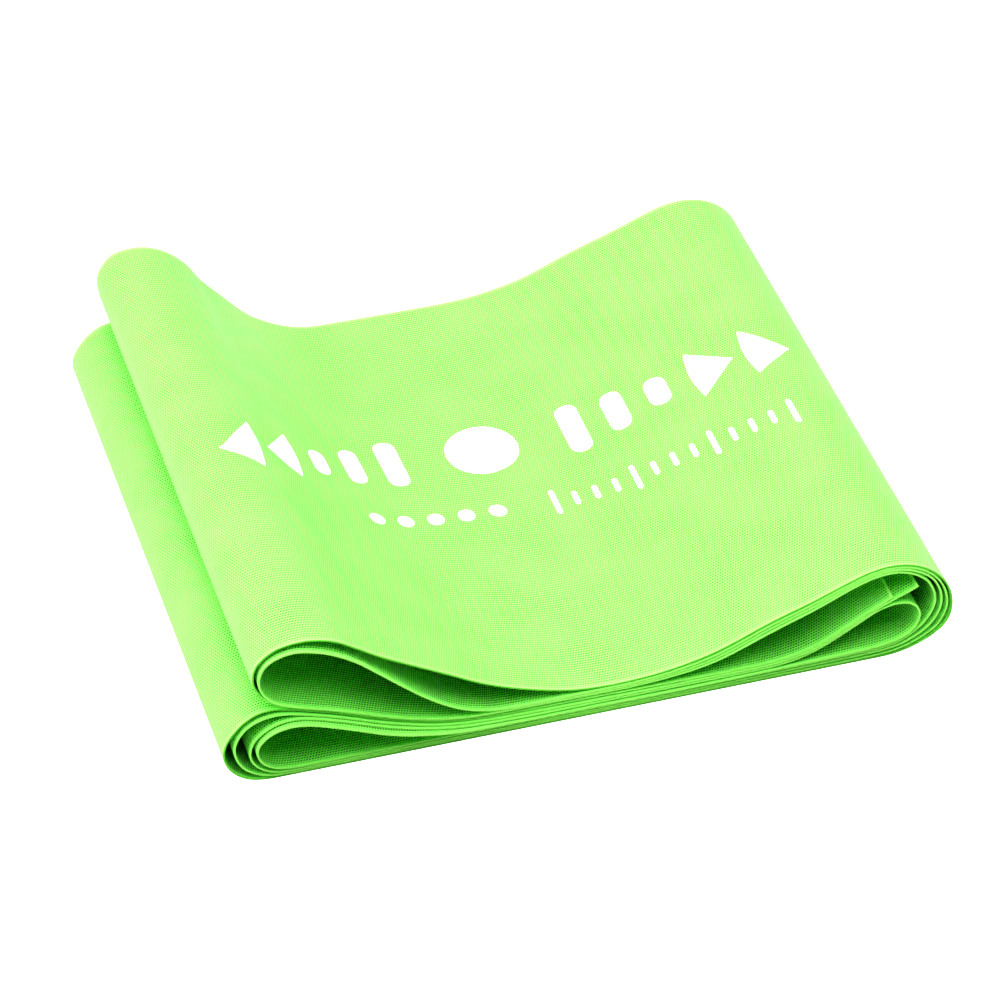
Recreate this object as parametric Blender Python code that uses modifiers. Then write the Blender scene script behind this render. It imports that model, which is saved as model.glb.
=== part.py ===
"""A resistance band: one long flat strip of elastic sheet folded into a flat pack.

The strip is halved and then zigzagged, so the middle of the pack is twelve layers high.
Each end of the pack is a set of open bends nested inside each other.
X runs along the pack, Y across the width of the strip, Z up.  Lengths are in millimetres
here and are turned into metres when the mesh is made.
"""
import bpy
import numpy as np

MM = 0.001
BAND_WIDTH = 150.0
SHEET_THICKNESS = 0.42
CENTRING = 1.6
CHORD_ERROR = 0.04
LONGEST_STEP = 9.0
SHORTEST_STEP = 0.7
DENSE_STEPS = 30
BAND_COLOUR = (0.20, 0.80, 0.10, 1.0)

# The sheet passes the middle of the pack twelve times; the layers count down from the top.
JOIN_X = 3.0
LAYER_HEIGHT = {
    1: 7.75, 2: 7.14, 3: 6.60, 4: 6.06, 5: 5.20, 6: 4.35,
    7: 3.75, 8: 2.95, 9: 2.02, 10: 1.41, 11: 0.83, 12: 0.21,
}

# Free end lying over layer 6, from its cut edge to the middle of the pack.
END_5_FRONT = [
    (70.9, 17.95), (69.6, 17.0), (65, 14.3), (60, 11.35), (55, 8.45), (50, 6.5), (45, 5.4), (40, 5.0),
    (25, 4.95), (12, 5.1),
]
END_5_BACK = [
    (76.2, 20.0), (74.6, 19.15), (67, 15.6), (61.5, 12.3), (56, 9.1), (50.7, 6.75), (45.5, 5.5),
    (40, 5.0), (25, 4.95), (12, 5.1),
]
# Free end lying over layer 7, from the middle of the pack to its cut edge.
END_6 = [
    (12, 4.33), (25, 4.35), (40, 4.45), (45, 4.85), (50, 5.9), (55, 7.8), (60, 10.7), (65, 13.6),
    (68, 15.4), (72, 17.3), (75, 18.6), (77, 19.6),
]

# Upper left bends: outer one from layer 1 to layer 4, inner one from layer 3 to layer 2.
OUTER_UPPER_FRONT = [
    (-5, 8.5), (-15, 11.2), (-25, 15.2), (-35, 20.9), (-45, 26.6), (-50, 29.6), (-55, 33.1), (-60, 36.2),
    (-65, 37.65), (-69, 37.75), (-73, 36.9), (-75.8, 35.1), (-77.6, 33.0), (-78.35, 30.5), (-78.25, 28.0),
    (-77.4, 25.6), (-75.9, 23.5), (-73.5, 21.5), (-70, 19.75), (-65, 17.95), (-60, 16.15), (-55, 14.1),
    (-50, 12.0), (-45, 10.05), (-40, 8.5), (-35, 7.3), (-30, 6.55), (-24, 6.25), (-10, 6.1),
]
OUTER_UPPER_BACK = [
    (-5.9, 7.75), (-17.2, 7.8), (-29, 8.5), (-40.2, 14.0), (-49, 23.3), (-53, 28.0), (-56.7, 33.7),
    (-61.4, 38.1), (-66, 40.3), (-70.2, 40.8), (-74.4, 39.8), (-76.9, 37.1), (-78.1, 34.5), (-78.3, 31.7),
    (-77.9, 28.7), (-77.1, 26.0), (-75.8, 23.8), (-73.5, 21.6), (-70, 19.75), (-65, 17.95), (-60, 16.15),
    (-55, 14.1), (-50, 12.0), (-45, 10.05), (-40, 8.5), (-35, 7.3), (-30, 6.55), (-24, 6.25), (-10, 6.1),
]
INNER_UPPER_FRONT = [
    (-10, 6.6), (-24, 6.75), (-30, 7.08), (-35, 7.9), (-40, 9.1), (-45, 10.65), (-50, 12.6), (-55, 14.7),
    (-60, 16.75), (-65, 18.55), (-69, 20.1), (-72.7, 21.8), (-75.1, 23.8), (-76.6, 26.1), (-77.2, 28.5),
    (-76.9, 31.2), (-75.4, 33.8), (-72.3, 35.5), (-68.5, 36.0), (-64, 34.9), (-60, 33.2), (-55, 29.9),
    (-50, 25.4), (-45, 20.7), (-40, 16.2), (-35, 12.4), (-30, 9.6), (-25, 8.0), (-20, 7.35), (-10, 7.14),
]
INNER_UPPER_BACK = [
    (-10, 6.6), (-24, 6.75), (-30, 7.08), (-35, 7.9), (-40, 9.1), (-45, 10.65), (-50, 12.6), (-55, 14.7),
    (-60, 16.75), (-65, 18.55), (-69, 20.1), (-72.6, 22.0), (-75.0, 24.5), (-76.4, 27.0), (-77.2, 29.8),
    (-77.4, 33), (-76.4, 36.3), (-74, 38.9), (-70.2, 40.0), (-66, 39.4), (-61.9, 37.3), (-57.4, 33.3),
    (-53.2, 26.6), (-49.0, 21.6), (-44.6, 16.7), (-39, 11.6), (-33.5, 8.7), (-28, 7.65), (-20, 7.25),
    (-10, 7.12),
]

# Lower left bends, the outermost first.
LEFT_1 = [
    (-15, 5.3), (-24, 5.5), (-30, 5.95), (-35, 6.75), (-40, 7.9), (-45, 9.45), (-50, 11.4), (-55, 13.5),
    (-60, 15.55), (-65, 17.35), (-70, 19.0), (-73, 19.75), (-75.5, 19.9), (-78, 19.4), (-80.6, 17.9),
    (-83.1, 15.4), (-84.95, 12.5), (-85.6, 9.8), (-85.3, 7.2), (-84.1, 4.6), (-82.1, 2.5), (-79.5, 1.05),
    (-76, 0.35), (-70, 0.21), (-40, 0.21),
]
LEFT_2 = [
    (-15, 4.65), (-24, 4.9), (-30, 5.35), (-35, 6.1), (-40, 7.3), (-45, 8.85), (-50, 10.65), (-55, 12.75),
    (-60, 14.75), (-65, 16.55), (-70, 18.15), (-73, 18.65), (-75.5, 18.5), (-78, 17.8), (-80.3, 16.4),
    (-82.2, 14.0), (-83.1, 11.5), (-83.1, 9.0), (-82.3, 6.5), (-80.8, 4.3), (-78.5, 2.5), (-75.5, 1.3),
    (-71, 0.85), (-64, 0.82), (-40, 0.82),
]
LEFT_3 = [
    (-15, 4.0), (-24, 4.3), (-30, 4.75), (-35, 5.5), (-40, 6.7), (-45, 8.2), (-50, 10.0), (-55, 12.1),
    (-60, 14.1), (-65, 15.9), (-69, 16.8), (-72, 16.75), (-74.6, 15.95), (-77, 14.35), (-78.9, 12.2),
    (-79.7, 9.5), (-79.6, 7.2), (-78.6, 5.1), (-76.8, 3.3), (-74.2, 2.0), (-70, 1.5), (-64, 1.42),
    (-40, 1.4),
]
LEFT_4 = [
    (-15, 3.2), (-24, 3.6), (-30, 4.1), (-35, 4.9), (-40, 6.1), (-45, 7.6), (-50, 9.4), (-55, 11.5),
    (-60, 13.5), (-65, 15.3), (-69, 16.15), (-72, 15.95), (-74.6, 14.95), (-76.7, 13.2), (-78.0, 11.1),
    (-78.2, 8.9), (-77.6, 6.7), (-76.2, 4.8), (-74.0, 3.35), (-71.0, 2.55), (-67, 2.2), (-60, 2.1),
    (-40, 2.02),
]

# Right bends, the outermost first, then the small loop inside them.
RIGHT_1 = [
    (9, 7.85), (15, 8.3), (20, 9.1), (25, 10.2), (30, 11.75), (35, 13.85), (40, 16.1), (45, 18.1),
    (50, 19.9), (55, 21.9), (60, 24.0), (65, 25.8), (69.5, 26.5), (74, 26.0), (78, 24.4), (81.2, 22.0),
    (83.7, 18.9), (85.2, 15.5), (85.75, 12.0), (85.4, 8.8), (84.0, 6.1), (81.8, 4.1), (78.8, 2.4),
    (75.2, 1.1), (71.5, 0.4), (66, 0.21), (40, 0.21),
]
RIGHT_2 = [
    (9, 7.25), (15, 7.7), (20, 8.45), (25, 9.45), (30, 10.95), (35, 13.05), (40, 15.35), (45, 17.35),
    (50, 19.2), (55, 21.25), (60, 23.4), (65, 25.25), (69.5, 25.95), (73.8, 25.5), (77.6, 24.0),
    (80.6, 21.7), (82.9, 18.6), (84.1, 15.4), (84.45, 12.1), (83.7, 9.1), (82.0, 6.2), (79.4, 4.3),
    (76.4, 2.75), (73.0, 1.6), (69.0, 1.1), (62, 0.9), (40, 0.85),
]
RIGHT_3 = [
    (9, 6.75), (15, 7.15), (20, 7.8), (25, 8.7), (30, 10.15), (35, 12.25), (40, 14.55), (45, 16.6),
    (50, 18.5), (55, 20.6), (60, 22.85), (65, 24.75), (69.5, 25.45), (73.6, 25.0), (77.1, 23.5),
    (80.0, 21.3), (81.95, 18.3), (82.85, 15.3), (82.8, 12.2), (81.85, 9.4), (80.0, 6.8), (77.4, 4.85),
    (74.4, 3.3), (70.5, 2.4), (64.5, 2.0), (55, 1.85), (40, 1.65), (20, 1.5),
]
RIGHT_4 = [
    (9, 6.2), (15, 6.6), (20, 7.2), (25, 8.05), (30, 9.45), (35, 11.5), (40, 13.8), (45, 15.85),
    (50, 17.8), (55, 19.95), (60, 22.3), (65, 24.2), (69.5, 24.9), (73.3, 24.4), (76.6, 22.8),
    (79.2, 20.5), (80.7, 17.8), (81.4, 15.0), (81.1, 12.4), (80.1, 9.9), (78.3, 7.5), (75.9, 5.5),
    (73.0, 3.9), (69.4, 3.05), (64, 2.75), (55, 2.6), (40, 2.4), (20, 2.15),
]
INNER_LOOP = [
    (20, 2.85), (40, 3.1), (52, 3.3), (60, 3.42), (66, 3.6), (70, 3.95), (73, 4.75), (75.7, 6.3),
    (77.4, 8.5), (77.9, 10.9), (77.1, 13.2), (75.2, 14.8), (72.3, 15.4), (69.5, 15.0), (67, 14.1),
    (65, 12.97), (60, 10.0), (55, 7.2), (50, 5.2), (45, 4.2), (40, 3.87), (25, 3.75), (12, 3.75),
]


def joint(layer):
    """The point where a layer passes the middle of the pack."""
    return [(JOIN_X, LAYER_HEIGHT[layer])]


def ruled(front, back, lead):
    """One outline at the near edge of the strip and another at the far edge.

    The lead is how far the strip stands out towards the near side, at a few evenly spread points.
    """
    stands_out = np.interp(np.linspace(0, 1, len(front)), np.linspace(0, 1, len(lead)), lead)
    return [near + far + (out,) for near, far, out in zip(front, back, stands_out)]


def extruded(points, lead):
    """The same outline at both edges of the strip."""
    return ruled(points, points, lead)


def reverse(points):
    return list(reversed(points))


def strip_path():
    """Every point the strip passes, from one cut end to the other."""
    path = ruled(END_5_FRONT, END_5_BACK, [0.5, 0.1])
    path += extruded(joint(5) + LEFT_1 + joint(12), [0.0, 0.0])
    path += extruded(reverse(RIGHT_1) + joint(1), [0.0, 0.0])
    path += ruled(OUTER_UPPER_FRONT, OUTER_UPPER_BACK, [0.0, 0.0])
    path += extruded(joint(4) + RIGHT_4 + joint(9), [0.1, 0.7, 0.5, 0.3, 0.1])
    path += extruded(reverse(LEFT_4), [0.0, 0.8, 2.5, 3.2, 1.0])
    path += extruded(joint(8) + INNER_LOOP + joint(7), [0.7, 0.3, 0.4])
    path += extruded(LEFT_3, [0.7, 1.4, 1.2, 0.4, 0.1])
    path += extruded(joint(10) + reverse(RIGHT_3) + joint(3), [0.1, 0.4, 0.4, 0.2])
    path += ruled(INNER_UPPER_FRONT, INNER_UPPER_BACK, [0.3, 0.4, 0.9, 1.3, 0.4])
    path += extruded(joint(2) + RIGHT_2 + joint(11), [0.2, 0.2, 0.2, 0.1])
    path += extruded(reverse(LEFT_2), [0.1, 0.3, 0.6, 0.6, 0.4])
    path += extruded(joint(6) + END_6, [0.3, 0.5])
    return np.array(path)


def smooth_curve(points):
    """A smooth curve through the points, with speed matched to their spacing."""
    padded = np.vstack([2 * points[0] - points[1], points, 2 * points[-1] - points[-2]])
    gaps = np.linalg.norm(np.diff(padded, axis=0), axis=1) ** 0.5
    curve = []
    for i in range(1, len(padded) - 2):
        before, start, end, after = padded[i - 1:i + 3]
        leave = (start - before) / gaps[i - 1] - (end - before) / (gaps[i - 1] + gaps[i])
        leave = (leave + (end - start) / gaps[i]) * gaps[i]
        reach = (end - start) / gaps[i] - (after - start) / (gaps[i] + gaps[i + 1])
        reach = (reach + (after - end) / gaps[i + 1]) * gaps[i]
        for t in np.arange(DENSE_STEPS) / DENSE_STEPS:
            point = (2 * t ** 3 - 3 * t ** 2 + 1) * start + (t ** 3 - 2 * t ** 2 + t) * leave
            point = point + (3 * t ** 2 - 2 * t ** 3) * end + (t ** 3 - t ** 2) * reach
            curve.append(point)
    curve.append(points[-1])
    return np.array(curve)


def steps_needed(edge):
    """How many mesh steps each small piece of an edge line is worth."""
    span = np.diff(edge, axis=0)
    length = np.linalg.norm(span, axis=1)
    heading = np.unwrap(np.arctan2(span[:, 1], span[:, 0]))
    bend = np.abs(np.gradient(heading)) / length
    window = np.ones(15) / 15
    bend = np.convolve(np.pad(bend, 7, mode="edge"), window, mode="valid")
    step = np.sqrt(8 * CHORD_ERROR / np.maximum(bend, 1e-6))
    return length / np.clip(step, SHORTEST_STEP, LONGEST_STEP)


def stations(path):
    """Points along the strip, close together where it bends hard."""
    curve = smooth_curve(path)
    need = np.maximum(steps_needed(curve[:, 0:2]), steps_needed(curve[:, 2:4]))
    travelled = np.concatenate([[0.0], np.cumsum(need)])
    count = int(np.ceil(travelled[-1]))
    wanted = np.linspace(0.0, travelled[-1], count + 1)
    rows = np.stack([np.interp(wanted, travelled, column) for column in curve.T], axis=1)
    rows[:, [1, 3]] = np.maximum(rows[:, [1, 3]], SHEET_THICKNESS / 2)
    return rows


def band_mesh(rows):
    """A one-cell-wide open sheet between the two edges of the strip, centred across the pack."""
    half = BAND_WIDTH / 2
    verts = []
    for near_x, near_z, far_x, far_z, lead in rows:
        verts.append((near_x * MM, (CENTRING - half - lead) * MM, near_z * MM))
        verts.append((far_x * MM, (CENTRING + half - lead) * MM, far_z * MM))
    faces = [(2 * i, 2 * i + 2, 2 * i + 3, 2 * i + 1) for i in range(len(rows) - 1)]
    mesh = bpy.data.meshes.new("band")
    mesh.from_pydata(verts, [], faces)
    mesh.update()
    return mesh


def band_material():
    material = bpy.data.materials.new("green elastic sheet")
    material.use_nodes = True
    shader = material.node_tree.nodes["Principled BSDF"]
    shader.inputs["Base Color"].default_value = BAND_COLOUR
    shader.inputs["Roughness"].default_value = 0.6
    return material


def build():
    for leftover in list(bpy.data.objects):
        bpy.data.objects.remove(leftover, do_unlink=True)
    group = bpy.data.collections.new("resistance_band")
    bpy.context.scene.collection.children.link(group)
    mesh = band_mesh(stations(strip_path()))
    mesh.materials.append(band_material())
    band = bpy.data.objects.new("band", mesh)
    group.objects.link(band)
    sheet = band.modifiers.new("sheet", "SOLIDIFY")
    sheet.thickness = SHEET_THICKNESS * MM
    sheet.offset = 0.0


build()
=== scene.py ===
"""A folded resistance band: one long strip of green elastic sheet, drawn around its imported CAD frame.

The strip's fold is given in millimetres as the points its two edges pass, X along the pack and Z up.
Y runs across the strip, from its near edge to its far edge.
"""
import bpy
import numpy as np
from mathutils import Matrix, Vector


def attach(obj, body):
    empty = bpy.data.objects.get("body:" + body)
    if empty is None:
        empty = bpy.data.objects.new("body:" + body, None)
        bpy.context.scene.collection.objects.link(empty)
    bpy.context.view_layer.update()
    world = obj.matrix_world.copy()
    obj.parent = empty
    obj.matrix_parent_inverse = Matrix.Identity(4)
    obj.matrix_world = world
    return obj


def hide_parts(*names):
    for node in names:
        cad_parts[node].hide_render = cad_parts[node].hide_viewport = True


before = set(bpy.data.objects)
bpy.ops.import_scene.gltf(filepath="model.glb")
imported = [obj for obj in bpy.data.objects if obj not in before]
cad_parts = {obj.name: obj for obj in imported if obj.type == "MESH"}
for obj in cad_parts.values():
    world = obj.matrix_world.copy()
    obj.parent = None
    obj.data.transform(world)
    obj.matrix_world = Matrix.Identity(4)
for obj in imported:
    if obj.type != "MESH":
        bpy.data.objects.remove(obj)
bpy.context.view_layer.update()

MM = 0.001

# The strip, in millimetres.
BAND_WIDTH = 150.0
SHEET_THICKNESS = 0.46
EDGE_ROUNDING = 0.05
CENTRING = 1.6

# How finely the strip is divided: millimetres, counts, and radians for the angle that stays sharp.
CELLS_ACROSS = 24
CHORD_ERROR = 0.003
LONGEST_STEP = 2.5
SHORTEST_STEP = 0.25
DENSE_STEPS = 60
SMOOTHED_STEPS = 15
STRAIGHTEST_BEND = 1e-6
SHARP_ANGLE = 0.6

# Colours, and how rough and shiny each surface is.
GREEN = (0.285, 0.840, 0.165, 1.0)
# The dents' colour is painted shade in the dents, on top of their small bump.
GREEN_DOT_SHADE = (0.040, 0.160, 0.015, 1.0)
# Painted highlight: the plain undotted margins at the two cut ends are lighter than the sheet.
GREEN_END_HIGHLIGHT = (0.400, 0.860, 0.200, 1.0)
GREEN_CUT = (0.262, 0.640, 0.127, 1.0)
# Painted shade on the cut edges of the outermost turns.
GREEN_CUT_OUTER_SHADE = (0.112, 0.420, 0.038, 1.0)
# Painted shade in the nicks of the cut edges.
GREEN_CUT_NICK_SHADE = (0.120, 0.480, 0.040, 1.0)
INK_WHITE = (0.880, 0.900, 0.870, 1.0)
INK_THIN = (0.820, 0.880, 0.780, 1.0)
FLOOR_GREY = (0.92, 0.92, 0.92, 1.0)
WHITE = (1.0, 1.0, 1.0, 1.0)
SHEET_ROUGHNESS = 0.55
SHEET_SHINE = 0.12
CUT_ROUGHNESS = 0.7
CUT_SHINE = 0.2
INK_ROUGHNESS = 0.5
INK_SHINE = 0.3
FLOOR_ROUGHNESS = 0.9

# The embossed grain, in metres, as the flat coordinates are.
DOT_ALONG = 0.00066
DOT_ACROSS = 0.00158
DOT_CORE = 0.00010
DOT_RIM = 0.00033
DOT_DEPTH = 0.00010
PLAIN_MARGIN = 0.0008
SIDE_BLUR = 0.0002
END_BLUR = 0.0003
CLOUD_SCALE = 60.0
FAINTEST_DOT = 0.75
CLOUD_RANGE = (0.3, 0.7)

# The cut edges on the strip's outermost turns are painted darker, as painted shade.  The shade starts
# where layer 5 passes the middle of the pack and ends short of where layer 4 does; the fades are metres
# along the strip.
OUTER_FROM_LAYER = 5
OUTER_TO_LAYER = 4
OUTER_FADE_IN = 0.05
OUTER_FADE_OUT = (0.10, 0.06)
NICK_RANGE = (-1.0, 0.2)
DEEPEST_NICK = 0.8

# The print on the upper face, in millimetres: plain shapes in two rows.  A place along the print is
# measured from the middle of the pack, positive to the left.  The rows bow, so each has points that
# give its distance from the near edge.
BOLD_ROW = [(-72, 85.0), (-66, 86.0), (-30, 89.0), (0, 90.5), (30, 88.0), (55, 79.5), (80, 70.0)]
FINE_ROW = [(-75, 60.0), (-66, 61.0), (-30, 64.5), (8, 67.0), (45, 62.5)]
ARROW_PLACES = (76.0, 62.0, -56.0, -70.0)
ARROW_WIDTH = 11.0
ARROW_HEIGHT = 19.0
ARROW_TIP = 0.3
ARROW_BASE_ROUNDING = 1.2
ARROW_BASE_SHARE = 0.2
BAR_HEIGHTS = (10.0, 14.0, 18.0)
BAR_WIDTH = 5.5
BAR_CORNER = 2.5
BAR_SPACING = 11.0
BARS_FROM_LEFT = 48.0
BARS_FROM_RIGHT = -42.0
DISC_PLACE = 3.0
DISC_WIDTH = 18.0
SPOT_COUNT = 5
SPOT_WIDTH = 4.4
SPOT_SPACING = 8.0
SPOTS_FROM = 38.0
TICK_COUNT = 13
TICKS_PER_LONG_ONE = 4
TICK_WIDTH = 1.3
TICK_CORNER = 0.6
TICK_SPACING = 5.0
TICKS_FROM = -8.0
LONG_TICK = 9.0
SHORT_TICK = 5.0
INK_LIFT = 0.004
INK_THICKNESS = 0.03
INK_STEP = 0.4
INK_LEAST = 0.15
INK_CLOUD_SCALE = 400.0
INK_CLOUD_RANGE = (0.35, 0.75)
INK_GRAIN_DEPTH = 0.00003

# Camera, from the vanishing points of the pack's own straight edges.  Places here are in metres.
CAMERA_PLACE = (-0.25367, -0.84119, 0.70842)
CAMERA_RIGHT = (0.95738, -0.28882, 0.0)
CAMERA_UP = (0.18038, 0.59792, 0.78099)
CAMERA_AHEAD = (0.22557, 0.74771, -0.62454)
LENS = 171.2
SENSOR_WIDTH = 36.0
NEAREST_SEEN = 0.05

# Studio: what the camera sees of the floor and the world is brighter than the light they give.
LIGHTS = (
    ("overhead", (0.0, 0.03, 1.2), (1.9, 2.0), 40.0),
    ("left", (-1.3, 0.1, 0.6), (1.0, 1.0), 15.0),
    ("right", (1.3, 0.2, 0.7), (1.0, 1.0), 8.0),
)
LIGHT_AIM = (0.0, 0.0, 0.015)
FLOOR_REACH = 3.0
FLOOR_LEVEL = -0.00005
FLOOR_GLOW = 0.05
FLOOR_SEEN = 0.8
WORLD_STRENGTH = 0.02
WORLD_SEEN = 1.0

# The sheet passes the middle of the pack twelve times; the layers count down from the top.
JOIN_X = 3.0
HEIGHT_WEIGHT = 5.0
LAYER_HEIGHT = {
    1: 7.75, 2: 7.14, 3: 6.60, 4: 6.06, 5: 5.20, 6: 4.35,
    7: 3.75, 8: 2.95, 9: 2.02, 10: 1.41, 11: 0.83, 12: 0.21,
}

# Free end lying over layer 6, from its cut edge to the middle of the pack.
END_5_FRONT = [
    (70.9, 17.95), (69.6, 17.0), (65, 14.3), (60, 11.35), (55, 8.45), (50, 6.5), (45, 5.4), (40, 5.0),
    (25, 4.95), (12, 5.1),
]
END_5_BACK = [
    (76.2, 20.0), (74.6, 19.15), (67, 15.6), (61.5, 12.3), (56, 9.1), (50.7, 6.75), (45.5, 5.5),
    (40, 5.0), (25, 4.95), (12, 5.1),
]
# Free end lying over layer 7, from the middle of the pack to its cut edge.
END_6 = [
    (12, 4.33), (25, 4.35), (40, 4.45), (45, 4.85), (50, 5.9), (55, 7.8), (60, 10.7), (65, 13.6),
    (68, 15.4), (72, 17.3), (75, 18.6), (77, 19.6),
]

# Upper left bends: outer one from layer 1 to layer 4, inner one from layer 3 to layer 2.
OUTER_UPPER_FRONT = [
    (-5, 8.5), (-15, 11.2), (-25, 15.2), (-35, 20.9), (-45, 26.6), (-50, 29.6), (-55, 33.1), (-60, 36.2),
    (-65, 37.65), (-69, 37.75), (-73, 36.9), (-75.8, 35.1), (-77.6, 33.0), (-78.35, 30.5), (-78.25, 28.0),
    (-77.4, 25.6), (-75.9, 23.5), (-73.5, 21.5), (-70, 19.75), (-65, 17.95), (-60, 16.15), (-55, 14.1),
    (-50, 12.0), (-45, 10.05), (-40, 8.5), (-35, 7.3), (-30, 6.55), (-24, 6.25), (-10, 6.1),
]
OUTER_UPPER_BACK = [
    (-5.9, 7.75), (-17.2, 7.8), (-29, 8.5), (-40.2, 14.0), (-49, 23.3), (-53, 28.0), (-56.7, 33.7),
    (-61.4, 38.1), (-66, 40.3), (-70.2, 40.8), (-74.4, 39.8), (-76.9, 37.1), (-78.1, 34.5), (-78.3, 31.7),
    (-77.9, 28.7), (-77.1, 26.0), (-75.8, 23.8), (-73.5, 21.6), (-70, 19.75), (-65, 17.95), (-60, 16.15),
    (-55, 14.1), (-50, 12.0), (-45, 10.05), (-40, 8.5), (-35, 7.3), (-30, 6.55), (-24, 6.25), (-10, 6.1),
]
INNER_UPPER_FRONT = [
    (-10, 6.6), (-24, 6.75), (-30, 7.08), (-35, 7.9), (-40, 9.1), (-45, 10.65), (-50, 12.6), (-55, 14.7),
    (-60, 16.75), (-65, 18.55), (-69, 20.1), (-72.7, 21.8), (-75.1, 23.8), (-76.6, 26.1), (-77.2, 28.5),
    (-76.9, 31.2), (-75.4, 33.8), (-72.3, 35.5), (-68.5, 36.0), (-64, 34.9), (-60, 33.2), (-55, 29.9),
    (-50, 25.4), (-45, 20.7), (-40, 16.2), (-35, 12.4), (-30, 9.6), (-25, 8.0), (-20, 7.35), (-10, 7.14),
]
INNER_UPPER_BACK = [
    (-10, 6.6), (-24, 6.75), (-30, 7.08), (-35, 7.9), (-40, 9.1), (-45, 10.65), (-50, 12.6), (-55, 14.7),
    (-60, 16.75), (-65, 18.55), (-69, 20.1), (-72.6, 22.0), (-75.0, 24.5), (-76.4, 27.0), (-77.2, 29.8),
    (-77.4, 33), (-76.4, 36.3), (-74, 38.9), (-70.2, 40.0), (-66, 39.4), (-61.9, 37.3), (-57.4, 33.3),
    (-53.2, 26.6), (-49.0, 21.6), (-44.6, 16.7), (-39, 11.6), (-33.5, 8.7), (-28, 7.65), (-20, 7.25),
    (-10, 7.12),
]

# Lower left bends, the outermost first.
LEFT_1 = [
    (-15, 5.3), (-24, 5.5), (-30, 5.95), (-35, 6.75), (-40, 7.9), (-45, 9.45), (-50, 11.4), (-55, 13.5),
    (-60, 15.55), (-65, 17.35), (-70, 19.0), (-73, 19.75), (-75.5, 19.9), (-78, 19.4), (-80.6, 17.9),
    (-83.1, 15.4), (-84.95, 12.5), (-85.6, 9.8), (-85.3, 7.2), (-84.1, 4.6), (-82.1, 2.5), (-79.5, 1.05),
    (-76, 0.35), (-70, 0.21), (-40, 0.21),
]
LEFT_2 = [
    (-15, 4.65), (-24, 4.9), (-30, 5.35), (-35, 6.1), (-40, 7.3), (-45, 8.85), (-50, 10.65), (-55, 12.75),
    (-60, 14.75), (-65, 16.55), (-70, 18.15), (-73, 18.65), (-75.5, 18.5), (-78, 17.8), (-80.3, 16.4),
    (-82.2, 14.0), (-83.1, 11.5), (-83.1, 9.0), (-82.3, 6.5), (-80.8, 4.3), (-78.5, 2.5), (-75.5, 1.3),
    (-71, 0.85), (-64, 0.82), (-40, 0.82),
]
LEFT_3 = [
    (-15, 4.0), (-24, 4.3), (-30, 4.75), (-35, 5.5), (-40, 6.7), (-45, 8.2), (-50, 10.0), (-55, 12.1),
    (-60, 14.1), (-65, 15.9), (-69, 16.8), (-72, 16.75), (-74.6, 15.95), (-77, 14.35), (-78.9, 12.2),
    (-79.7, 9.5), (-79.6, 7.2), (-78.6, 5.1), (-76.8, 3.3), (-74.2, 2.0), (-70, 1.5), (-64, 1.42),
    (-40, 1.4),
]
LEFT_4 = [
    (-15, 3.2), (-24, 3.6), (-30, 4.1), (-35, 4.9), (-40, 6.1), (-45, 7.6), (-50, 9.4), (-55, 11.5),
    (-60, 13.5), (-65, 15.3), (-69, 16.15), (-72, 15.95), (-74.6, 14.95), (-76.7, 13.2), (-78.0, 11.1),
    (-78.2, 8.9), (-77.6, 6.7), (-76.2, 4.8), (-74.0, 3.35), (-71.0, 2.55), (-67, 2.2), (-60, 2.1),
    (-40, 2.02),
]

# Right bends, the outermost first, then the small loop inside them.
RIGHT_1 = [
    (9, 7.85), (15, 8.3), (20, 9.1), (25, 10.2), (30, 11.75), (35, 13.85), (40, 16.1), (45, 18.1),
    (50, 19.9), (55, 21.9), (60, 24.0), (65, 25.8), (69.5, 26.5), (74, 26.0), (78, 24.4), (81.2, 22.0),
    (83.7, 18.9), (85.2, 15.5), (85.75, 12.0), (85.4, 8.8), (84.0, 6.1), (81.8, 4.1), (78.8, 2.4),
    (75.2, 1.1), (71.5, 0.4), (66, 0.21), (40, 0.21),
]
RIGHT_2 = [
    (9, 7.25), (15, 7.7), (20, 8.45), (25, 9.45), (30, 10.95), (35, 13.05), (40, 15.35), (45, 17.35),
    (50, 19.2), (55, 21.25), (60, 23.4), (65, 25.25), (69.5, 25.95), (73.8, 25.5), (77.6, 24.0),
    (80.6, 21.7), (82.9, 18.6), (84.1, 15.4), (84.45, 12.1), (83.7, 9.1), (82.0, 6.2), (79.4, 4.3),
    (76.4, 2.75), (73.0, 1.6), (69.0, 1.1), (62, 0.9), (40, 0.85),
]
RIGHT_3 = [
    (9, 6.75), (15, 7.15), (20, 7.8), (25, 8.7), (30, 10.15), (35, 12.25), (40, 14.55), (45, 16.6),
    (50, 18.5), (55, 20.6), (60, 22.85), (65, 24.75), (69.5, 25.45), (73.6, 25.0), (77.1, 23.5),
    (80.0, 21.3), (81.95, 18.3), (82.85, 15.3), (82.8, 12.2), (81.85, 9.4), (80.0, 6.8), (77.4, 4.85),
    (74.4, 3.3), (70.5, 2.4), (64.5, 2.0), (55, 1.85), (40, 1.65), (20, 1.5),
]
RIGHT_4 = [
    (9, 6.2), (15, 6.6), (20, 7.2), (25, 8.05), (30, 9.45), (35, 11.5), (40, 13.8), (45, 15.85),
    (50, 17.8), (55, 19.95), (60, 22.3), (65, 24.2), (69.5, 24.9), (73.3, 24.4), (76.6, 22.8),
    (79.2, 20.5), (80.7, 17.8), (81.4, 15.0), (81.1, 12.4), (80.1, 9.9), (78.3, 7.5), (75.9, 5.5),
    (73.0, 3.9), (69.4, 3.05), (64, 2.75), (55, 2.6), (40, 2.4), (20, 2.15),
]
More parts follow.
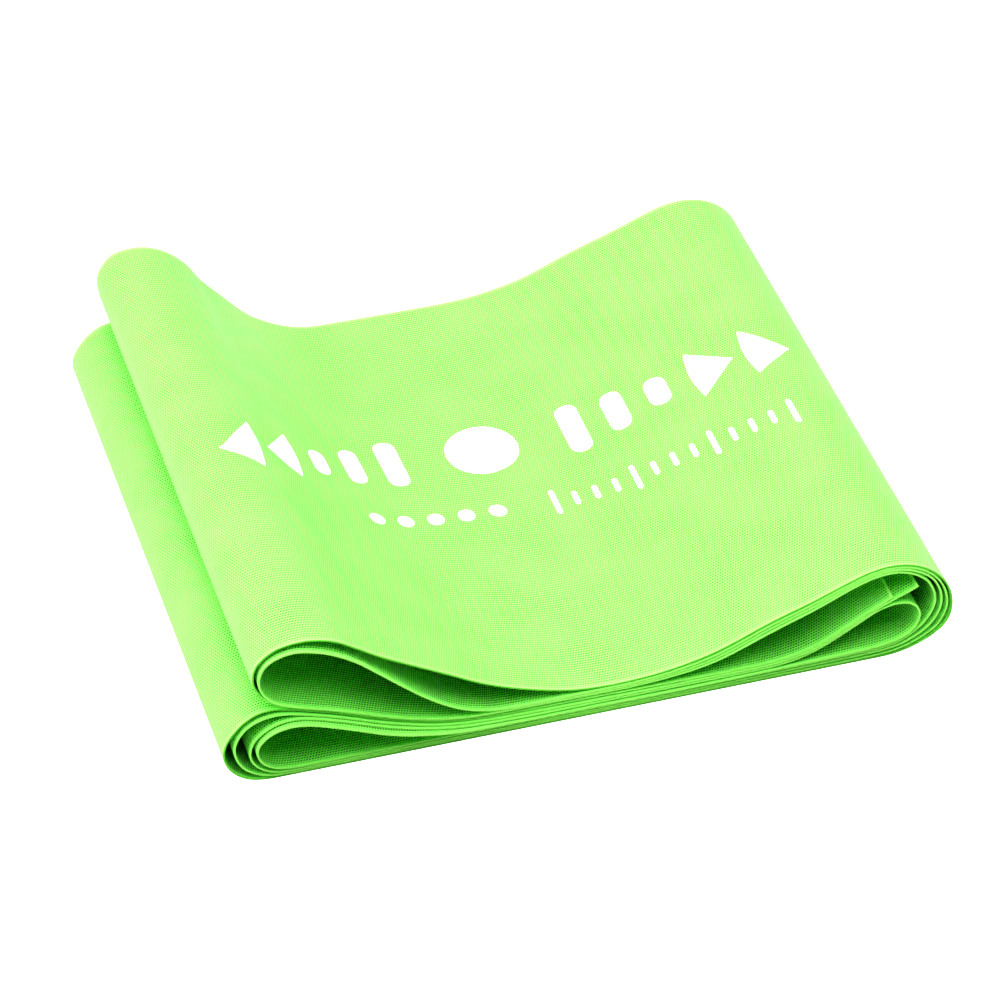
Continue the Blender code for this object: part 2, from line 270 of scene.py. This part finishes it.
INNER_LOOP = [
    (20, 2.85), (40, 3.1), (52, 3.3), (60, 3.42), (66, 3.6), (70, 3.95), (73, 4.75), (75.7, 6.3),
    (77.4, 8.5), (77.9, 10.9), (77.1, 13.2), (75.2, 14.8), (72.3, 15.4), (69.5, 15.0), (67, 14.1),
    (65, 12.97), (60, 10.0), (55, 7.2), (50, 5.2), (45, 4.2), (40, 3.87), (25, 3.75), (12, 3.75),
]


def joint(layer):
    """The point where a layer passes the middle of the pack."""
    return [(JOIN_X, LAYER_HEIGHT[layer])]


def ruled(front, back, lead):
    """One outline at the near edge of the strip and another at the far edge.

    The lead is how far the strip stands out towards the near side, at a few evenly spread points.
    """
    stands_out = np.interp(np.linspace(0, 1, len(front)), np.linspace(0, 1, len(lead)), lead)
    return [near + far + (out,) for near, far, out in zip(front, back, stands_out)]


def extruded(points, lead):
    """The same outline at both edges of the strip."""
    return ruled(points, points, lead)


def reverse(points):
    return list(reversed(points))


def strip_path():
    """Every point the strip passes, from one cut end to the other."""
    path = ruled(END_5_FRONT, END_5_BACK, [0.5, 0.1])
    path += extruded(joint(5) + LEFT_1 + joint(12), [0.0, 0.0])
    path += extruded(reverse(RIGHT_1) + joint(1), [0.0, 0.0])
    path += ruled(OUTER_UPPER_FRONT, OUTER_UPPER_BACK, [0.0, 0.0])
    path += extruded(joint(4) + RIGHT_4 + joint(9), [0.1, 0.7, 0.5, 0.3, 0.1])
    path += extruded(reverse(LEFT_4), [0.0, 0.8, 2.5, 3.2, 1.0])
    path += extruded(joint(8) + INNER_LOOP + joint(7), [0.7, 0.3, 0.4])
    path += extruded(LEFT_3, [0.7, 1.4, 1.2, 0.4, 0.1])
    path += extruded(joint(10) + reverse(RIGHT_3) + joint(3), [0.1, 0.4, 0.4, 0.2])
    path += ruled(INNER_UPPER_FRONT, INNER_UPPER_BACK, [0.3, 0.4, 0.9, 1.3, 0.4])
    path += extruded(joint(2) + RIGHT_2 + joint(11), [0.2, 0.2, 0.2, 0.1])
    path += extruded(reverse(LEFT_2), [0.1, 0.3, 0.6, 0.6, 0.4])
    path += extruded(joint(6) + END_6, [0.3, 0.5])
    return np.array(path)


def smooth_curve(points):
    """A smooth curve through the points, with speed matched to their spacing."""
    padded = np.vstack([2 * points[0] - points[1], points, 2 * points[-1] - points[-2]])
    gaps = np.linalg.norm(np.diff(padded, axis=0), axis=1) ** 0.5
    curve = []
    for i in range(1, len(padded) - 2):
        before, start, end, after = padded[i - 1:i + 3]
        leave = (start - before) / gaps[i - 1] - (end - before) / (gaps[i - 1] + gaps[i])
        leave = (leave + (end - start) / gaps[i]) * gaps[i]
        reach = (end - start) / gaps[i] - (after - start) / (gaps[i] + gaps[i + 1])
        reach = (reach + (after - end) / gaps[i + 1]) * gaps[i]
        for t in np.arange(DENSE_STEPS) / DENSE_STEPS:
            point = (2 * t ** 3 - 3 * t ** 2 + 1) * start + (t ** 3 - 2 * t ** 2 + t) * leave
            point = point + (3 * t ** 2 - 2 * t ** 3) * end + (t ** 3 - t ** 2) * reach
            curve.append(point)
    curve.append(points[-1])
    return np.array(curve)


def steps_needed(edge):
    """How many mesh steps each small piece of an edge line is worth."""
    span = np.diff(edge, axis=0)
    length = np.linalg.norm(span, axis=1)
    heading = np.unwrap(np.arctan2(span[:, 1], span[:, 0]))
    bend = np.abs(np.gradient(heading)) / length
    window = np.ones(SMOOTHED_STEPS) / SMOOTHED_STEPS
    bend = np.convolve(np.pad(bend, SMOOTHED_STEPS // 2, mode="edge"), window, mode="valid")
    step = np.sqrt(8 * CHORD_ERROR / np.maximum(bend, STRAIGHTEST_BEND))
    return length / np.clip(step, SHORTEST_STEP, LONGEST_STEP)


def stations(path):
    """Points along the strip, close together where it bends hard and never below the floor."""
    curve = smooth_curve(path)
    need = np.maximum(steps_needed(curve[:, 0:2]), steps_needed(curve[:, 2:4]))
    travelled = np.concatenate([[0.0], np.cumsum(need)])
    count = int(np.ceil(travelled[-1]))
    wanted = np.linspace(0.0, travelled[-1], count + 1)
    rows = np.stack([np.interp(wanted, travelled, column) for column in curve.T], axis=1)
    rows[:, [1, 3]] = np.maximum(rows[:, [1, 3]], SHEET_THICKNESS / 2)
    return rows


def run_length(rows):
    """Distance along the strip at each station, halfway between its two edges' distances."""
    near = np.linalg.norm(np.diff(rows[:, 0:2], axis=0), axis=1)
    far = np.linalg.norm(np.diff(rows[:, 2:4], axis=0), axis=1)
    return np.concatenate([[0.0], np.cumsum((near + far) / 2)])


class Strip:
    """The strip's mid surface, and points on or over it."""

    def __init__(self, rows):
        self.rows = rows
        self.run = run_length(rows)
        self.lean = np.gradient(rows, axis=0)

    def between_stations(self, run, values):
        return np.stack([np.interp(run, self.run, column) for column in values.T], axis=-1)

    def at(self, run, across, height):
        """Places in millimetres, for arrays of run, distance across and height over the mid surface."""
        row = self.between_stations(run, self.rows)
        lean = self.between_stations(run, self.lean)
        share = (across / BAND_WIDTH)[..., None]
        middle = row[..., 0:2] * (1 - share) + row[..., 2:4] * share
        along = lean[..., 0:2] * (1 - share) + lean[..., 2:4] * share
        along = along / np.linalg.norm(along, axis=-1, keepdims=True)
        x = middle[..., 0] + along[..., 1] * height
        y = CENTRING + across - BAND_WIDTH / 2 - row[..., 4]
        z = middle[..., 1] - along[..., 0] * height
        return np.stack([x, y, z], axis=-1)

    def run_at(self, layer):
        """Distance along the strip where a layer passes the middle of the pack.

        Layers lie close together, so a height counts for more than a place along the pack.
        """
        beside = self.rows[:, 0] - JOIN_X
        above = self.rows[:, 1] - LAYER_HEIGHT[layer]
        return self.run[np.argmin(np.hypot(beside, HEIGHT_WEIGHT * above))]


def add_object(name, data):
    thing = bpy.data.objects.new(name, data)
    bpy.context.scene.collection.objects.link(thing)
    return thing


def section_points():
    """One slice across the strip, as (distance from the near edge, height over the mid surface)."""
    face = SHEET_THICKNESS / 2
    rim = face - EDGE_ROUNDING
    inner = np.linspace(EDGE_ROUNDING, BAND_WIDTH - EDGE_ROUNDING, CELLS_ACROSS + 1)
    upper = [(v, face) for v in inner]
    lower = [(v, -face) for v in inner[::-1]]
    return upper + [(BAND_WIDTH, rim), (BAND_WIDTH, -rim)] + lower + [(0.0, -rim), (0.0, rim)]


def band_object(strip):
    """The band as one closed mesh, with its flat coordinates in metres as a UV map.

    Its first material is the sheet's and its second is the cut edges'.
    """
    slice_points = section_points()
    count = len(slice_points)
    run = np.repeat(strip.run[:, None], count, axis=1)
    across = np.tile([p[0] for p in slice_points], (len(strip.run), 1))
    height = np.tile([p[1] for p in slice_points], (len(strip.run), 1))
    verts = strip.at(run, across, height).reshape(-1, 3) * MM
    flat = np.stack([run, across], axis=-1).reshape(-1, 2) * MM
    faces = []
    slots = []
    for i in range(len(strip.run) - 1):
        for j in range(count):
            k = (j + 1) % count
            faces.append((i * count + j, i * count + k, (i + 1) * count + k, (i + 1) * count + j))
            on_sheet = j % (count // 2) < CELLS_ACROSS
            slots.append(0 if on_sheet else 1)
    faces.append(tuple(reversed(range(count))))
    faces.append(tuple((len(strip.run) - 1) * count + j for j in range(count)))
    slots += [1, 1]
    mesh = bpy.data.meshes.new("band_sheet")
    mesh.from_pydata([tuple(v) for v in verts], [], faces)
    layer = mesh.uv_layers.new(name="flat")
    order = np.zeros(len(mesh.loops), dtype=int)
    mesh.loops.foreach_get("vertex_index", order)
    layer.data.foreach_set("uv", flat[order].astype(np.float32).ravel())
    mesh.polygons.foreach_set("material_index", slots)
    mesh.polygons.foreach_set("use_smooth", [True] * len(mesh.polygons))
    mesh.update()
    mesh.set_sharp_from_angle(angle=SHARP_ANGLE)
    return add_object("band_sheet", mesh)


def rounded_bar(width, height, corner):
    """Width, and half height at a distance from the middle, of an upright bar with round corners."""
    def half_height(s):
        past = np.maximum(np.abs(s) - (width / 2 - corner), 0.0)
        return height / 2 - corner + np.sqrt(np.maximum(corner ** 2 - past ** 2, 0.0))
    return width, half_height


def arrow_head(width, height, points_left):
    """Width, and half height at a distance from the middle, of a solid triangle with a softened base."""
    def half_height(s):
        from_tip = width / 2 - s if points_left else width / 2 + s
        base = np.minimum(1.0, (width - from_tip) / ARROW_BASE_ROUNDING + ARROW_BASE_SHARE)
        return np.maximum(from_tip / width * height / 2, ARROW_TIP) * base
    return width, half_height


def printed_shapes():
    """Every printed shape, as (place along the print, row, width, half height)."""
    shapes = []
    for place in ARROW_PLACES:
        shapes.append((place, BOLD_ROW) + arrow_head(ARROW_WIDTH, ARROW_HEIGHT, points_left=place > 0))
    for step, height in enumerate(BAR_HEIGHTS):
        for place in (BARS_FROM_LEFT - BAR_SPACING * step, BARS_FROM_RIGHT + BAR_SPACING * step):
            shapes.append((place, BOLD_ROW) + rounded_bar(BAR_WIDTH, height, BAR_CORNER))
    shapes.append((DISC_PLACE, BOLD_ROW) + rounded_bar(DISC_WIDTH, DISC_WIDTH, DISC_WIDTH / 2))
    for i in range(SPOT_COUNT):
        place = SPOTS_FROM - SPOT_SPACING * i
        shapes.append((place, FINE_ROW) + rounded_bar(SPOT_WIDTH, SPOT_WIDTH, SPOT_WIDTH / 2))
    for i in range(TICK_COUNT):
        place = TICKS_FROM - TICK_SPACING * i
        height = LONG_TICK if i % TICKS_PER_LONG_ONE == 0 else SHORT_TICK
        shapes.append((place, FINE_ROW) + rounded_bar(TICK_WIDTH, height, TICK_CORNER))
    return shapes


def print_object(strip):
    """The printed shapes as thin closed pads of ink that follow the sheet."""
    start = strip.run_at(1)
    low = SHEET_THICKNESS / 2 + INK_LIFT
    high = low + INK_THICKNESS
    verts = []
    faces = []
    for place, row, width, half_height in printed_shapes():
        count = int(np.ceil(width / INK_STEP)) + 1
        s = np.linspace(-width / 2, width / 2, count)
        half = np.maximum(half_height(s), INK_LEAST)
        middle = np.interp(place + s, [p[0] for p in row], [p[1] for p in row])
        base = len(verts)
        ring = []
        for side, lift in [(-half, low), (half, low), (half, high), (-half, high)]:
            ring.append(strip.at(start + place + s, middle + side, np.full(count, lift)) * MM)
        for column in range(count):
            verts += [tuple(corner[column]) for corner in ring]
        for i in range(count - 1):
            a = base + 4 * i
            for j in range(4):
                k = (j + 1) % 4
                faces.append((a + j, a + 4 + j, a + 4 + k, a + k))
        faces.append((base, base + 1, base + 2, base + 3))
        last = base + 4 * (count - 1)
        faces.append((last + 3, last + 2, last + 1, last))
    mesh = bpy.data.meshes.new("print_marks")
    mesh.from_pydata(verts, [], faces)
    mesh.update()
    return add_object("print_marks", mesh)


class Nodes:
    """Small helper that wires shader nodes."""

    def __init__(self, name):
        self.material = bpy.data.materials.new(name)
        self.material.use_nodes = True
        self.tree = self.material.node_tree
        self.shader = self.tree.nodes["Principled BSDF"]

    def feed(self, socket, value):
        if isinstance(value, bpy.types.NodeSocket):
            self.tree.links.new(value, socket)
        else:
            socket.default_value = value

    def math(self, kind, a, b=0.0):
        node = self.tree.nodes.new("ShaderNodeMath")
        node.operation = kind
        self.feed(node.inputs[0], a)
        self.feed(node.inputs[1], b)
        return node.outputs[0]

    def vector(self, kind, a, b=(0.0, 0.0, 0.0)):
        node = self.tree.nodes.new("ShaderNodeVectorMath")
        node.operation = kind
        self.feed(node.inputs[0], a)
        self.feed(node.inputs[1], b)
        return node.outputs["Value"] if kind == "LENGTH" else node.outputs["Vector"]

    def ramp(self, value, low, high, to_low=0.0, to_high=1.0):
        node = self.tree.nodes.new("ShaderNodeMapRange")
        node.interpolation_type = "SMOOTHSTEP"
        self.feed(node.inputs["Value"], value)
        self.feed(node.inputs["From Min"], low)
        self.feed(node.inputs["From Max"], high)
        self.feed(node.inputs["To Min"], to_low)
        self.feed(node.inputs["To Max"], to_high)
        return node.outputs["Result"]

    def mix(self, share, a, b):
        """A mix of two colours; the node's sockets 6, 7 and 2 are the colour ones."""
        node = self.tree.nodes.new("ShaderNodeMix")
        node.data_type = "RGBA"
        self.feed(node.inputs[0], share)
        self.feed(node.inputs[6], a)
        self.feed(node.inputs[7], b)
        return node.outputs[2]

    def noise(self, where, scale, detail):
        node = self.tree.nodes.new("ShaderNodeTexNoise")
        self.feed(node.inputs["Vector"], where)
        node.inputs["Scale"].default_value = scale
        node.inputs["Detail"].default_value = detail
        return node.outputs["Fac"]

    def flat(self):
        """The place on the unfolded sheet: distance along it and distance across it."""
        node = self.tree.nodes.new("ShaderNodeUVMap")
        node.uv_map = "flat"
        return node.outputs["UV"]

    def split(self, where):
        node = self.tree.nodes.new("ShaderNodeSeparateXYZ")
        self.feed(node.inputs[0], where)
        return node.outputs[0], node.outputs[1]

    def bump(self, height, depth):
        node = self.tree.nodes.new("ShaderNodeBump")
        node.inputs["Distance"].default_value = depth
        self.feed(node.inputs["Height"], height)
        self.feed(self.shader.inputs["Normal"], node.outputs["Normal"])


def between_margins(nodes, place, length, blur):
    """1 on the middle of a stretch from 0 to the length, and 0 in the plain margins at its two ends.

    The blur is how far the change reaches inwards and outwards from a margin's inner side.
    """
    half = length / 2
    from_middle = nodes.math("ABSOLUTE", nodes.math("SUBTRACT", place, half))
    edge = half - PLAIN_MARGIN
    return nodes.ramp(from_middle, edge - blur[0], edge + blur[1], 1.0, 0.0)


def dots(nodes, strip):
    """The embossed grain: staggered rows of small dents, missing along the cut edges.

    Returns the strength of the dents, and that of the plain margins at the two cut ends.
    """
    flat = nodes.flat()
    cell = nodes.vector("MULTIPLY", flat, (1 / DOT_ALONG, 1 / DOT_ACROSS, 0.0))
    nearest = None
    for shift in (0.0, 0.5):
        local = nodes.vector("FRACTION", nodes.vector("ADD", cell, (shift, shift, 0.0)))
        local = nodes.vector("SUBTRACT", local, (0.5, 0.5, 0.0))
        local = nodes.vector("MULTIPLY", local, (DOT_ALONG, DOT_ACROSS, 0.0))
        away = nodes.vector("LENGTH", local)
        nearest = away if nearest is None else nodes.math("MINIMUM", nearest, away)
    dot = nodes.ramp(nearest, DOT_CORE, DOT_RIM, 1.0, 0.0)
    along, across = nodes.split(flat)
    inside = between_margins(nodes, across, BAND_WIDTH * MM, (SIDE_BLUR, SIDE_BLUR))
    short_of_end = between_margins(nodes, along, strip.run[-1] * MM, (0.0, END_BLUR))
    dot = nodes.math("MULTIPLY", dot, nodes.math("MULTIPLY", inside, short_of_end))
    return dot, nodes.math("SUBTRACT", 1.0, short_of_end)


def sheet_material(strip):
    nodes = Nodes("green_sheet")
    dot, at_end = dots(nodes, strip)
    # Painted shade in the dents, its strength varied at random by a cloud.
    cloud = nodes.noise(nodes.flat(), CLOUD_SCALE, detail=3.0)
    share = nodes.math("MULTIPLY", dot, nodes.ramp(cloud, *CLOUD_RANGE, FAINTEST_DOT, 1.0))
    # The plain undotted margins at the two cut ends are painted lighter, a painted highlight along the
    # end cuts.
    green = nodes.mix(share, nodes.mix(at_end, GREEN, GREEN_END_HIGHLIGHT), GREEN_DOT_SHADE)
    nodes.feed(nodes.shader.inputs["Base Color"], green)
    nodes.shader.inputs["Roughness"].default_value = SHEET_ROUGHNESS
    nodes.shader.inputs["Specular IOR Level"].default_value = SHEET_SHINE
    nodes.bump(nodes.math("SUBTRACT", 1.0, dot), DOT_DEPTH)
    return nodes.material


def cut_material(strip):
    """The cut edge, nicked where it runs through the dents, with painted shade in the nicks and on the
    outermost turns.
    """
    nodes = Nodes("green_cut_edge")
    along, across = nodes.split(nodes.flat())
    wave = nodes.math("MULTIPLY", nodes.math("ADD", along, across), 2 * np.pi / DOT_ALONG)
    tooth = nodes.ramp(nodes.math("SINE", wave), *NICK_RANGE, DEEPEST_NICK, 1.0)
    # The outermost turns' cut edges get painted shade, faded in and out along the strip.
    first = strip.run_at(OUTER_FROM_LAYER) * MM
    last = strip.run_at(OUTER_TO_LAYER) * MM
    begun = nodes.ramp(along, first, first + OUTER_FADE_IN)
    unfinished = nodes.ramp(along, last - OUTER_FADE_OUT[0], last - OUTER_FADE_OUT[1], 1.0, 0.0)
    green = nodes.mix(nodes.math("MULTIPLY", begun, unfinished), GREEN_CUT, GREEN_CUT_OUTER_SHADE)
    # The nicks are painted darker, as painted shade, besides their bump.
    nodes.feed(nodes.shader.inputs["Base Color"], nodes.mix(tooth, GREEN_CUT_NICK_SHADE, green))
    nodes.shader.inputs["Roughness"].default_value = CUT_ROUGHNESS
    nodes.shader.inputs["Specular IOR Level"].default_value = CUT_SHINE
    nodes.bump(tooth, DOT_DEPTH)
    return nodes.material


def ink_material():
    nodes = Nodes("white_ink")
    where = nodes.tree.nodes.new("ShaderNodeTexCoord").outputs["Object"]
    cloud = nodes.noise(where, INK_CLOUD_SCALE, detail=4.0)
    share = nodes.ramp(cloud, *INK_CLOUD_RANGE)
    nodes.feed(nodes.shader.inputs["Base Color"], nodes.mix(share, INK_WHITE, INK_THIN))
    nodes.shader.inputs["Roughness"].default_value = INK_ROUGHNESS
    nodes.shader.inputs["Specular IOR Level"].default_value = INK_SHINE
    nodes.bump(cloud, INK_GRAIN_DEPTH)
    return nodes.material


def add_camera():
    lens = bpy.data.cameras.new("camera")
    lens.lens = LENS
    lens.sensor_width = SENSOR_WIDTH
    lens.clip_start = NEAREST_SEEN
    camera = add_object("camera", lens)
    axes = Matrix((CAMERA_RIGHT, CAMERA_UP, tuple(-c for c in CAMERA_AHEAD))).transposed()
    camera.matrix_world = Matrix.Translation(CAMERA_PLACE) @ axes.to_4x4()
    bpy.context.scene.camera = camera


def add_light(name, place, size, power):
    lamp = bpy.data.lights.new(name, "AREA")
    lamp.shape = "RECTANGLE"
    lamp.size, lamp.size_y = size
    lamp.energy = power
    light = add_object(name, lamp)
    aim = Vector(LIGHT_AIM) - Vector(place)
    light.rotation_euler = aim.to_track_quat("-Z", "Y").to_euler()
    light.location = place


def strength_for_rays(tree, given, seen):
    """One strength for the light that is given off, and another for what the camera sees."""
    rays = tree.nodes.new("ShaderNodeLightPath")
    choice = tree.nodes.new("ShaderNodeMapRange")
    choice.inputs["To Min"].default_value = given
    choice.inputs["To Max"].default_value = seen
    tree.links.new(rays.outputs["Is Camera Ray"], choice.inputs["Value"])
    return choice.outputs["Result"]


def add_floor():
    nodes = Nodes("pale_floor")
    nodes.shader.inputs["Base Color"].default_value = FLOOR_GREY
    nodes.shader.inputs["Roughness"].default_value = FLOOR_ROUGHNESS
    nodes.shader.inputs["Specular IOR Level"].default_value = 0.0
    nodes.shader.inputs["Emission Color"].default_value = WHITE
    glow = strength_for_rays(nodes.tree, FLOOR_GLOW, FLOOR_SEEN)
    nodes.feed(nodes.shader.inputs["Emission Strength"], glow)
    signs = [(-1, -1), (1, -1), (1, 1), (-1, 1)]
    corners = [(a * FLOOR_REACH, b * FLOOR_REACH, FLOOR_LEVEL) for a, b in signs]
    mesh = bpy.data.meshes.new("floor")
    mesh.from_pydata(corners, [], [(0, 1, 2, 3)])
    mesh.materials.append(nodes.material)
    floor = add_object("floor", mesh)


def add_world():
    world = bpy.data.worlds.new("studio")
    world.use_nodes = True
    back = world.node_tree.nodes["Background"]
    back.inputs["Color"].default_value = WHITE
    strength = strength_for_rays(world.node_tree, WORLD_STRENGTH, WORLD_SEEN)
    world.node_tree.links.new(strength, back.inputs["Strength"])
    bpy.context.scene.world = world


strip = Strip(stations(strip_path()))
band = band_object(strip)
band.data.materials.append(sheet_material(strip))
band.data.materials.append(cut_material(strip))
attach(band, "root")
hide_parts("band")
marks = print_object(strip)
marks.data.materials.append(ink_material())
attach(marks, "root")

add_world()
add_floor()
for name, place, size, power in LIGHTS:
    add_light(name, place, size, power)
add_camera()
bpy.context.scene.view_settings.view_transform = "Standard"
bpy.context.scene.view_settings.look = "High Contrast"
